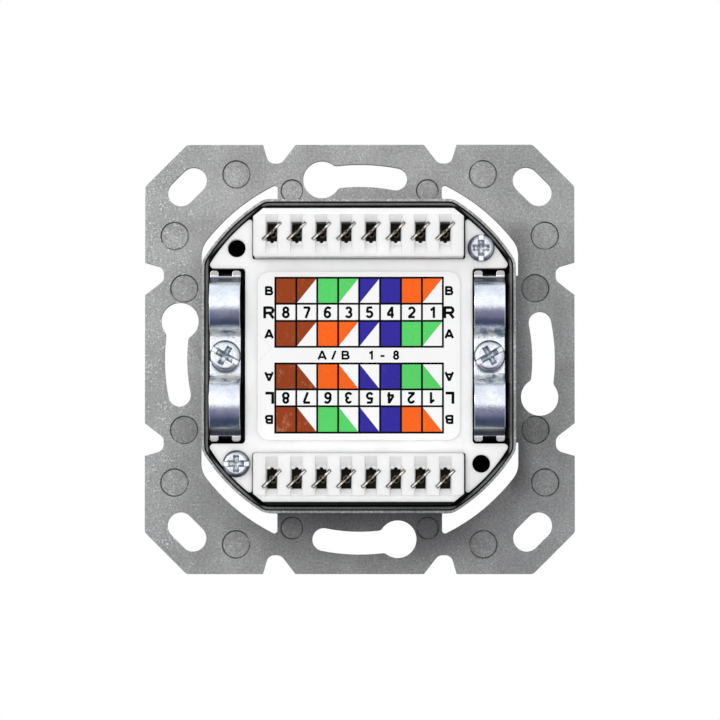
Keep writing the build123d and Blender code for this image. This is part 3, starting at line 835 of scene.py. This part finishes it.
class MeshKit:
    """Turns arrays of points and faces into pieces."""

    @staticmethod
    def piece(name: str, points: np.ndarray, faces: Iterable[Sequence[int]],
              finish: bpy.types.Material, slot: str, smooth: bool = False) -> bpy.types.Object:
        """Make one piece that rides on the outlet.

        Args:
            name: Name of the piece.
            points: N by 3 array of places, in millimetres.
            faces: Corner numbers of each face.
            finish: Material.
            slot: Material slot in the record; not used.
            smooth: Whether its faces are shaded as one curved surface.

        Returns:
            The new object.
        """
        mesh = bpy.data.meshes.new(name)
        mesh.from_pydata((points * MM).tolist(), [], [list(map(int, face)) for face in faces])
        mesh.validate()
        mesh.polygons.foreach_set("use_smooth", [smooth] * len(mesh.polygons))
        mesh.materials.append(finish)
        made = bpy.data.objects.new(name, mesh)
        bpy.context.scene.collection.objects.link(made)
        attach(made, ROOT)
        log.info("%s: %d faces", name, len(mesh.polygons))
        return made

    @staticmethod
    def level(flat: np.ndarray, depth: float) -> np.ndarray:
        """Set (across, up) places, as seen from the wiring side, at one depth: across runs towards -X."""
        return np.column_stack((-flat[:, 0], np.full(len(flat), depth), flat[:, 1]))

    @classmethod
    def band(cls, path: np.ndarray, width: float, low: float, high: float,
             closed: bool) -> tuple[np.ndarray, np.ndarray]:
        """Raise a flat stroke of even width to a thin solid.

        The stroke's two sides are the path's points moved half a width along the path's normals. They
        make four rows of points, two at each depth; quads join each row to the next all the way along.

        Args:
            path: N by 2 array of (across, up) places along the middle of the stroke.
            width: Width of the stroke.
            low: Depth of the underside.
            high: Depth of the top.
            closed: Whether the last place joins the first.

        Returns:
            Points and faces.
        """
        if closed:
            along = np.roll(path, -1, 0) - np.roll(path, 1, 0)
        else:
            along = np.gradient(path, axis=0)
        along = along / np.linalg.norm(along, axis=1, keepdims=True)
        side = np.column_stack((-along[:, 1], along[:, 0])) * width / 2
        points = np.concatenate((
            cls.level(path + side, high), cls.level(path - side, high),
            cls.level(path - side, low), cls.level(path + side, low),
        ))
        count = len(path)
        spans = np.arange(count if closed else count - 1)
        ends = (spans + 1) % count
        faces = np.concatenate([
            np.stack((a * count + spans, b * count + spans, b * count + ends, a * count + ends), -1)
            for a, b in ((0, 1), (1, 2), (2, 3), (3, 0))
        ])
        if not closed:
            rows = np.arange(4) * count
            faces = np.concatenate((faces, [rows[::-1]], [rows + count - 1]))
        return points, faces

    @classmethod
    def slabs(cls, outlines: Sequence[np.ndarray], low: float,
              high: float) -> tuple[np.ndarray, list[np.ndarray]]:
        """Raise flat outlines to thin slabs.

        Each outline runs anticlockwise as seen from the wiring side: its copy at the higher depth is
        the top, its reversed copy at the lower one the bottom, and a quad joins each pair of edges.

        Args:
            outlines: Arrays of (across, up) places.
            low: Depth of the undersides.
            high: Depth of the tops.

        Returns:
            Points and faces.
        """
        points: list[np.ndarray] = []
        faces: list[np.ndarray] = []
        start = 0
        for outline in outlines:
            count = len(outline)
            under = np.arange(count) + start
            after = np.roll(under, -1)
            points += [cls.level(outline, low), cls.level(outline, high)]
            faces += [under + count, under[::-1]]
            faces += list(np.stack((under, after, after + count, under + count), -1))
            start += 2 * count
        return np.concatenate(points), faces


class Sign:
    """Strokes of the plain characters, in a box one unit high."""

    STEPS = 18

    @staticmethod
    def line(*places: tuple[float, float]) -> tuple[np.ndarray, bool]:
        """Straight stroke from one place to another."""
        return np.array(places, dtype=float), False

    @classmethod
    def arc(cls, middle: tuple[float, float], reach: tuple[float, float],
            start: float, end: float) -> tuple[np.ndarray, bool]:
        """Stroke along part of an ellipse, or all round it.

        Each place is the middle plus (reach across times cos a, reach up times sin a).

        Args:
            middle: Middle of the ellipse.
            reach: Half its width and half its height.
            start: First angle, in degrees.
            end: Last angle.

        Returns:
            The path, and whether it is closed.
        """
        closed = abs(end - start) >= 360
        angles = np.radians(np.linspace(start, end, cls.STEPS * (2 if closed else 1), endpoint=not closed))
        turned = np.column_stack((np.cos(angles), np.sin(angles)))
        return np.array(middle) + np.array(reach) * turned, closed

    @classmethod
    def paths(cls, sign: str) -> list[tuple[np.ndarray, bool]]:
        """Give the strokes of one character."""
        line, arc = cls.line, cls.arc
        stem = line((0.0, 0.0), (0.0, 1.0))
        strokes = {
            "1": [line((0.40, 0.0), (0.40, 1.0)), line((0.42, 0.90), (0.12, 0.68))],
            "2": [arc((0.31, 0.66), (0.235, 0.26), 165, -32), line((0.52, 0.545), (0.06, 0.09)),
                  line((0.0, 0.08), (0.58, 0.08))],
            "3": [arc((0.27, 0.71), (0.21, 0.21), 160, -95), arc((0.27, 0.30), (0.24, 0.225), 95, -160)],
            "4": [line((0.44, 0.0), (0.44, 1.0)), line((0.43, 0.95), (0.05, 0.33)),
                  line((0.0, 0.28), (0.60, 0.28))],
            "5": [line((0.12, 0.92), (0.54, 0.92)), line((0.14, 0.96), (0.07, 0.46)),
                  arc((0.28, 0.325), (0.24, 0.245), 140, -158)],
            "6": [arc((0.30, 0.31), (0.225, 0.235), 0, 360), arc((0.375, 0.47), (0.30, 0.455), 182, 48)],
            "7": [line((0.0, 0.92), (0.58, 0.92)), line((0.54, 0.90), (0.20, 0.0))],
            "8": [arc((0.30, 0.725), (0.195, 0.20), 0, 360), arc((0.30, 0.30), (0.235, 0.225), 0, 360)],
            "A": [line((0.0, 0.0), (0.43, 1.0)), line((0.86, 0.0), (0.43, 1.0)),
                  line((0.16, 0.27), (0.70, 0.27))],
            "B": [stem, line((0.0, 0.90), (0.42, 0.90)), line((0.0, 0.52), (0.46, 0.52)),
                  line((0.0, 0.10), (0.46, 0.10)), arc((0.42, 0.715), (0.20, 0.185), 90, -90),
                  arc((0.46, 0.305), (0.23, 0.205), 90, -90)],
            "R": [stem, line((0.0, 0.90), (0.46, 0.90)), line((0.0, 0.45), (0.46, 0.45)),
                  arc((0.46, 0.675), (0.235, 0.225), 90, -90), line((0.40, 0.45), (0.74, 0.0))],
            "L": [stem, line((0.0, 0.10), (0.62, 0.10))],
            "/": [line((0.0, 0.0), (0.40, 1.0))],
            "-": [line((0.0, 0.40), (0.45, 0.40))],
        }
        return strokes[sign]


@dataclass(frozen=True)
class Lettering:
    """Height of a character in millimetres, and the width of its strokes as a share of it."""

    height: float
    stroke: float


@dataclass
class ColourCode:
    """Printed colour code on the label: two tables of cells, their numbers and their letters.

    Sizes are in millimetres. The lines are the heights of each table's level rules from the top down,
    and drift and lift are how far the whole print sits off the label's middle.
    """

    slot: str = "printed_label"
    pitch: float = 3.40
    lift: float = 0.12
    drift: float = 0.05
    upper_lines: tuple[float, ...] = (12.58, 8.35, 5.56, 1.35)
    lower_lines: tuple[float, ...] = (-1.36, -5.57, -8.30, -12.58)
    line_width: float = 0.32
    letter_across: float = 14.62
    digit_size: Lettering = Lettering(1.83, 0.215)
    port_size: Lettering = Lettering(1.93, 0.235)
    table_size: Lettering = Lettering(1.42, 0.265)
    note_size: Lettering = Lettering(1.43, 0.23)
    ink_rise: float = 0.012
    line_rise: float = 0.02
    overlap_step: float = 0.001
    brown_wear: float = 0.75
    wear: float = 0.12
    black_index: float = 1.15
    digits: str = "87635421"
    upper_letters: str = "BRA"
    lower_letters: str = "ALB"
    port_letters: str = "RL"
    note: tuple[tuple[str, float], ...] = (
        ("A", -6.0), ("/", -4.1), ("B", -2.2), ("1", 1.9), ("-", 3.8), ("8", 6.0),
    )
    pairs_a: tuple[Ink, ...] = (Ink.BROWN, Ink.ORANGE, Ink.BLUE, Ink.GREEN)
    pairs_b: tuple[Ink, ...] = (Ink.BROWN, Ink.GREEN, Ink.BLUE, Ink.ORANGE)
    fills: tuple[Fill, ...] = (
        Fill.WHOLE, Fill.SPLIT, Fill.WHOLE, Fill.SPLIT, Fill.SPLIT, Fill.WHOLE, Fill.WHOLE, Fill.SPLIT,
    )

    def __post_init__(self) -> None:
        """Take the label's face from the frame, and make the black ink."""
        self.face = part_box("code_label")[1].y / MM
        self.left = -self.pitch * len(self.digits) / 2
        self.black = PrintedInk(Ink.BLACK, index=self.black_index).build()

    def cell(self, column: int, top: float, bottom: float, fill: Fill, turned: bool) -> np.ndarray:
        """Outline of one coloured cell.

        Args:
            column: Number of the column from the left.
            top: Upper edge.
            bottom: Lower edge.
            fill: Whole cell or half of it.
            turned: Whether the table is the lower one, whose halves lean the other way.

        Returns:
            Anticlockwise (across, up) corners.
        """
        a = self.left + column * self.pitch
        b = a + self.pitch
        if fill is Fill.WHOLE:
            corners = [(a, bottom), (b, bottom), (b, top), (a, top)]
        elif turned:
            corners = [(a, bottom), (b, bottom), (a, top)]
        else:
            corners = [(a, bottom), (b, top), (a, top)]
        return np.array(corners) + (self.drift, self.lift)

    def fields(self) -> None:
        """Make one piece for each coloured ink."""
        rows = (
            (self.pairs_b, self.upper_lines[0], self.upper_lines[1], False),
            (self.pairs_a, self.upper_lines[2], self.upper_lines[3], False),
            (self.pairs_a, self.lower_lines[0], self.lower_lines[1], True),
            (self.pairs_b, self.lower_lines[2], self.lower_lines[3], True),
        )
        for ink in (Ink.BROWN, Ink.GREEN, Ink.ORANGE, Ink.BLUE):
            outlines = [
                self.cell(column, top, bottom, fill, turned)
                for pairs, top, bottom, turned in rows
                for column, fill in enumerate(self.fills)
                if pairs[column // 2] is ink
            ]
            points, faces = MeshKit.slabs(outlines, self.face, self.face + self.ink_rise)
            finish = PrintedInk(ink, self.brown_wear if ink is Ink.BROWN else self.wear).build()
            MeshKit.piece(f"print_{ink.name.lower()}", points, faces, finish, self.slot)

    def lines(self) -> None:
        """Make the black rules of both tables."""
        half = self.line_width / 2
        level_bars, upright_bars = [], []
        for levels in (self.upper_lines, self.lower_lines):
            for level in levels:
                level_bars.append(self.bar(self.left - half, level - half, half - self.left, level + half))
            for column in range(len(self.digits) + 1):
                across = self.left + column * self.pitch
                upright_bars.append(self.bar(across - half, levels[-1], across + half, levels[0]))
        for name, bars, step in (("level", level_bars, 0.0), ("upright", upright_bars, self.overlap_step)):
            points, faces = MeshKit.slabs(bars, self.face, self.face + self.line_rise + step)
            MeshKit.piece(f"print_{name}_rules", points, faces, self.black, self.slot)

    def bar(self, left: float, bottom: float, right: float, top: float) -> np.ndarray:
        """Outline of an upright rectangle."""
        corners = [(left, bottom), (right, bottom), (right, top), (left, top)]
        return np.array(corners) + (self.drift, self.lift)

    def glyph(self, sign: str, size: Lettering, across: float, up: float,
              turned: bool) -> list[tuple[np.ndarray, np.ndarray]]:
        """Make one plain character from a few strokes.

        Args:
            sign: Character.
            size: Its height and the width of its strokes.
            across: Place of its middle.
            up: Place of its middle.
            turned: Whether it stands upside down.

        Returns:
            Points in millimetres and faces of each stroke.
        """
        paths = Sign.paths(sign)
        everything = np.concatenate([path for path, closed in paths])
        middle = (everything[:, 0].min() + everything[:, 0].max()) / 2
        height = -size.height if turned else size.height
        solids = []
        for index, (path, closed) in enumerate(paths):
            flat = (path - (middle, 0.5)) * height + (across + self.drift, up + self.lift)
            top = self.face + self.line_rise + self.overlap_step * index
            solids.append(MeshKit.band(flat, size.stroke * size.height, self.face, top, closed))
        return solids

    def letters(self) -> None:
        """Make the numbers, the letters beside the tables and the note between them, as one piece."""
        solids: list[tuple[np.ndarray, np.ndarray]] = []
        for levels, letters, turned in (
            (self.upper_lines, self.upper_letters, False), (self.lower_lines, self.lower_letters, True),
        ):
            middles = [(top + bottom) / 2 for top, bottom in zip(levels, levels[1:])]
            for column, digit in enumerate(self.digits):
                across = self.left + (column + 0.5) * self.pitch
                solids += self.glyph(digit, self.digit_size, across, middles[1], turned)
            for letter, up in zip(letters, middles):
                size = self.port_size if letter in self.port_letters else self.table_size
                for across in (-self.letter_across, self.letter_across):
                    solids += self.glyph(letter, size, across, up, turned)
        for sign, across in self.note:
            solids += self.glyph(sign, self.note_size, across, 0.0, False)
        starts = np.cumsum([0] + [len(points) for points, faces in solids[:-1]])
        points = np.concatenate([shape for shape, faces in solids])
        faces = np.concatenate([sides + start for (shape, sides), start in zip(solids, starts)])
        MeshKit.piece("print_marks", points, faces, self.black, self.slot)

    def build(self) -> None:
        """Print everything."""
        self.fields()
        self.lines()
        self.letters()


@dataclass
class SolderRings:
    """Solder rings on the board round the blades' pins, seen at the bottom of the terminal slots."""

    ring_radius: float = 0.52
    wire_radius: float = 0.17
    flatness: float = 0.5
    around: int = 28
    section: int = 10
    rows: tuple[str, ...] = ("upper", "lower")
    blades: int = 8
    finish: TinnedMetal = TinnedMetal("solder", (0.90, 0.80, 0.66), 0.3)

    def ring(self, board: float) -> tuple[np.ndarray, np.ndarray]:
        """Make one ring about the middle of the flange.

        It is a flattened torus: with a the angle round the ring and b the angle round its section, the
        reach is ring_radius + wire_radius cos b and the depth is the board's face + flatness times
        wire_radius sin b.

        Args:
            board: Depth of the board's face.

        Returns:
            Points in millimetres and faces.
        """
        a, b = np.meshgrid(
            np.linspace(0, 2 * np.pi, self.around, endpoint=False),
            np.linspace(0, 2 * np.pi, self.section, endpoint=False),
            indexing="ij",
        )
        reach = self.ring_radius + self.wire_radius * np.cos(b)
        depth = board + self.wire_radius * self.flatness * np.sin(b)
        points = np.stack((reach * np.cos(a), depth, reach * np.sin(a)), -1).reshape(-1, 3)
        i, j = np.meshgrid(np.arange(self.around), np.arange(self.section), indexing="ij")
        here, onward = i * self.section, (i + 1) % self.around * self.section
        beside = (j + 1) % self.section
        faces = np.stack((here + j, here + beside, onward + beside, onward + j), -1)
        return points, faces.reshape(-1, 4)

    def build(self) -> None:
        """Make a ring at the middle of each blade, all as one piece."""
        ring, quads = self.ring(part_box("circuit_board")[1].y / MM)
        points, faces = [], []
        for row in self.rows:
            for number in range(1, self.blades + 1):
                low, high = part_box(f"contact_blade_{row}_{number}")
                middle = (low + high) / 2 / MM
                faces.append(quads + len(points) * len(ring))
                points.append(ring + np.array((middle.x, 0.0, middle.z)))
        MeshKit.piece("solder_rings", np.concatenate(points), np.concatenate(faces),
                      self.finish.build(), "tinned_blade", smooth=True)


@dataclass
class Hardware:
    """The solid pieces that come from the frame, each with its finish."""

    slot_turns: dict[str, float] = field(default_factory=lambda: {
        "clamp_screw_left": 30.0, "clamp_screw_right": -30.0,
        "cover_screw_upper": 90.0, "cover_screw_lower": 0.0,
    })
    small_head: float = 2.4
    small_shoulder: float = 0.65
    large_shoulder: float = 0.3

    def finishes(self) -> dict[str, bpy.types.Material]:
        """Build the finish of each material slot, but for the screws."""
        return {
            "zinc_casting": ZincCasting().build(),
            "white_moulding": WhiteMoulding().build(),
            "printed_label": LabelFilm().build(),
            "board": SolderMask().build(),
            "tinned_blade": BladeTin("tinned_blade", (0.97, 0.94, 0.90), roughness=0.16, lean=0.16).build(),
            "zinc_plated_strap": ZincPlate("zinc_plated_strap").build(),
            "dark_moulding": BlackMoulding().build(),
            "tinned_sheet": TinnedMetal("tinned_sheet", (0.82, 0.82, 0.83), roughness=0.28).build(),
            "gold_contact": TinnedMetal("gold_contact", (0.95, 0.74, 0.36), roughness=0.2).build(),
        }

    def screw_finish(self, name: str, slot_turn: float) -> bpy.types.Material:
        """Build the finish of one screw round its own axis."""
        low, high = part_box(name)
        middle = (low + high) / 2 / MM
        radius = (high.x - low.x) / 2 / MM
        shoulder = self.small_shoulder if radius < self.small_head else self.large_shoulder
        return ScrewPlate(name, place=(middle.x, middle.z), head_radius=radius,
                          slot_turn=slot_turn, shoulder=shoulder).build()

    def dress(self) -> None:
        """Give every solid its finish."""
        finishes = self.finishes()
        slots = {row["node"]: row["material_slot"] for row in frame["record"]["subparts"]}
        for name, solid in frame["nodes"].items():
            if name in self.slot_turns:
                finish = self.screw_finish(name, self.slot_turns[name])
            else:
                finish = finishes[slots[name]]
            for place in solid.material_slots:
                place.material = finish
            log.info("%s: %s", name, finish.name)


@dataclass(frozen=True)
class Lamp:
    """A square soft lamp that faces the outlet.

    Attributes:
        name: Name of the lamp.
        place: Where it hangs, in metres.
        size: Side of its square, in metres.
        power: Watts.
        matt: Whether it lights matt surfaces.
        gloss: Whether it shows in reflections.
    """

    name: str
    place: tuple[float, float, float]
    size: float
    power: float
    matt: bool = True
    gloss: bool = True

    def hang(self) -> None:
        """Add the lamp to the scene."""
        light = bpy.data.lights.new(self.name, "AREA")
        light.energy = self.power
        light.size = self.size
        lamp = bpy.data.objects.new(self.name, light)
        bpy.context.scene.collection.objects.link(lamp)
        lamp.location = self.place
        lamp.rotation_euler = (-Vector(self.place)).to_track_quat("-Z", "Y").to_euler()
        lamp.visible_diffuse = self.matt
        lamp.visible_glossy = self.gloss


@dataclass
class Studio:
    """Plain pale floor, soft light and the camera behind the outlet.

    Lengths are in metres, but for the camera's sensor, which is in millimetres.
    """

    distance: float = 0.750
    frame_width: float = 0.1189
    sensor: float = 36.0
    nearest: float = 0.01
    camera_side: float = -0.008
    camera_drop: float = -0.0287
    aim: tuple[float, float, float] = (-0.00005, 0.0, -0.00015)
    floor_level: float = -0.35
    floor_half: float = 1.6
    floor_pale: Colour = (0.95, 0.95, 0.95)
    floor_shade: Colour = (0.93, 0.93, 0.93)
    floor_clouds: Grain = Grain(0.004, 2.0)
    floor_roughness: float = 0.9
    white: tuple[float, float, float, float] = (1.0, 1.0, 1.0, 1.0)
    side_wall: Colour = (0.96, 0.97, 0.98)
    side_share: float = 0.75
    side_reach: Span = (0.35, 0.80)
    mirrored: tuple[Stop, ...] = (
        (0.0, 0.060, 0.085, 0.13), (0.035, 0.050, 0.065, 0.115), (0.085, 0.08, 0.09, 0.15),
        (0.17, 0.19, 0.195, 0.285), (0.32, 0.27, 0.27, 0.365), (0.445, 0.25, 0.25, 0.34),
        (0.458, 1.17, 1.17, 1.18), (0.80, 1.10, 1.12, 1.15), (1.0, 0.95, 1.00, 1.06),
    )
    soft: tuple[Stop, ...] = (
        (0.0, 0.12, 0.12, 0.12), (0.45, 0.16, 0.16, 0.16), (0.60, 0.36, 0.36, 0.36), (1.0, 0.42, 0.42, 0.42),
    )
    lamps: tuple[Lamp, ...] = (
        Lamp("front_soft", (0.00, 0.95, -0.02), 0.35, 6.7, gloss=False),
        Lamp("key", (0.45, 0.75, 0.40), 0.35, 1.1),
        Lamp("sheen", (0.17, 0.15, 0.07), 0.08, 0.18, matt=False),
        Lamp("other_side", (0.2, -0.7, 0.5), 0.7, 9.0),
    )

    def floor(self) -> None:
        """Lay the floor: a flat square."""
        half = self.floor_half
        corners = [(-half, -half), (half, -half), (half, half), (-half, half)]
        mesh = bpy.data.meshes.new("floor")
        mesh.from_pydata([(a, b, self.floor_level) for a, b in corners], [], [(0, 1, 2, 3)])
        book = ShaderBook("floor")
        book.connect("Base Color", book.mix(book.noise(self.floor_clouds), self.floor_shade, self.floor_pale))
        book.connect("Roughness", self.floor_roughness)
        mesh.materials.append(book.material)
        floor = bpy.data.objects.new("floor", mesh)
        bpy.context.scene.collection.objects.link(floor)
        floor.visible_glossy = False
        floor.visible_diffuse = False

    def world(self) -> None:
        """Surround: white to the eye, soft light from above, and its own ramp for reflections.

        Reflections see dark below the horizon and white above it, and pale walls on both sides.
        """
        world = bpy.data.worlds.new("studio")
        world.use_nodes = True
        bpy.context.scene.world = world
        world.node_tree.nodes.clear()
        book = NodeBook(world.node_tree)
        path = book.node("ShaderNodeLightPath", {}, {})
        place = book.node("ShaderNodeTexCoord", {}, {})
        split = book.node("ShaderNodeSeparateXYZ", {}, {"Vector": place.outputs["Generated"]})
        height = Value(book, split.outputs["Z"]) * 0.5 + 0.5
        aside = abs(Value(book, split.outputs["X"])).fade(*self.side_reach)
        mirror = book.mix(aside * self.side_share, book.ramp(height, self.mirrored), self.side_wall)
        soft, gloss, seen = (
            book.node("ShaderNodeBackground", {}, {"Color": colour, "Strength": 1.0}).outputs[0]
            for colour in (book.ramp(height, self.soft), mirror, self.white)
        )
        lit = book.node("ShaderNodeMixShader", {}, {0: path.outputs["Is Glossy Ray"], 1: soft, 2: gloss})
        final = book.node("ShaderNodeMixShader", {}, {
            0: path.outputs["Is Camera Ray"], 1: lit.outputs[0], 2: seen,
        })
        book.node("ShaderNodeOutputWorld", {}, {"Surface": final.outputs[0]})

    def camera(self) -> None:
        """Set the camera at the photo's viewing angle, aimed at the centre of the flange."""
        lens = bpy.data.cameras.new("camera")
        lens.sensor_width = self.sensor
        lens.lens = self.sensor * self.distance / self.frame_width
        lens.clip_start = self.nearest
        holder = bpy.data.objects.new("camera", lens)
        bpy.context.scene.collection.objects.link(holder)
        place = Vector((self.camera_side, self.distance, self.camera_drop))
        holder.location = place + Vector(self.aim)
        holder.rotation_euler = (-place).to_track_quat("-Z", "Y").to_euler()
        bpy.context.scene.camera = holder

    def build(self) -> None:
        """Set the whole stage."""
        self.floor()
        self.world()
        for lamp in self.lamps:
            lamp.hang()
        self.camera()
        bpy.context.scene.view_settings.view_transform = "Standard"


def main() -> None:
    """Dress the outlet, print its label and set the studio."""
    Hardware().dress()
    ColourCode().build()
    SolderRings().build()
    Studio().build()


if __name__ == "__main__":
    logging.basicConfig(level=logging.INFO, format="%(message)s")
    main()
